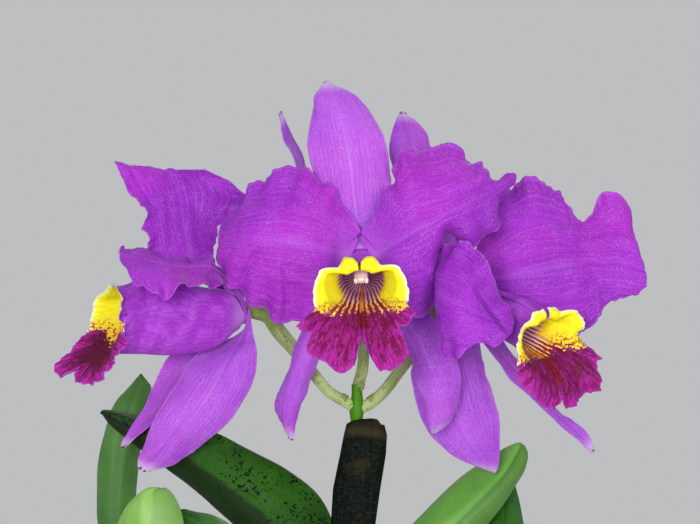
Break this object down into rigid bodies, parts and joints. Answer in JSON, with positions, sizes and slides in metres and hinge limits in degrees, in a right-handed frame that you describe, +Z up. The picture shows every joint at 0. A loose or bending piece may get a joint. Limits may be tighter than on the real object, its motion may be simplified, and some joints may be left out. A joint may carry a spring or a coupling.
{
  "type": "cattleya orchid",
  "caption": "Potted orchid with broad frilled petals, trumpet-shaped lips, strap leaves on club-shaped pseudobulbs and a plain clay pot of bark.",
  "frame": {"origin": "centre of the underside of the pot", "axes": "+Z up the plant, -Y out of the plant's front, which the middle bloom faces, +X to the right as seen from the front"},
  "size_m": [0.2704, 0.152, 0.4882],
  "materials": {
    "petal": "satin",
    "sepal": "satin",
    "lip": "satin",
    "column": "satin",
    "stalk": "satin",
    "sheath": "matte",
    "leaf": "satin",
    "bulb": "satin",
    "rhizome": "matte",
    "bark": "matte",
    "pot": "matte"
  },
  "bodies": {
    "root": {"bloom_centre_sepal_dorsal": "sepal", "bloom_centre_sepal_left": "sepal", "bloom_centre_sepal_right": "sepal", "bloom_centre_petal_left": "petal", "bloom_centre_petal_right": "petal", "bloom_centre_lip": "lip", "bloom_centre_column": "column", "bloom_left_sepal_dorsal": "sepal", "bloom_left_sepal_left": "sepal", "bloom_left_sepal_right": "sepal", "bloom_left_petal_left": "petal", "bloom_left_petal_right": "petal", "bloom_left_lip": "lip", "bloom_left_column": "column", "bloom_right_sepal_dorsal": "sepal", "bloom_right_sepal_left": "sepal", "bloom_right_sepal_right": "sepal", "bloom_right_petal_left": "petal", "bloom_right_petal_right": "petal", "bloom_right_lip": "lip", "bloom_right_column": "column", "flower_stalk": "stalk", "sheath": "sheath", "leaf_1": "leaf", "leaf_2": "leaf", "leaf_3": "leaf", "leaf_4": "leaf", "leaf_5": "leaf", "leaf_6": "leaf", "pseudobulb_1": "bulb", "pseudobulb_2": "bulb", "pseudobulb_3": "bulb", "pseudobulb_4": "bulb", "pseudobulb_5": "bulb", "pseudobulb_6": "bulb", "rhizome": "rhizome", "bark_medium": "bark", "pot": "pot"}
  },
  "joints": []
}
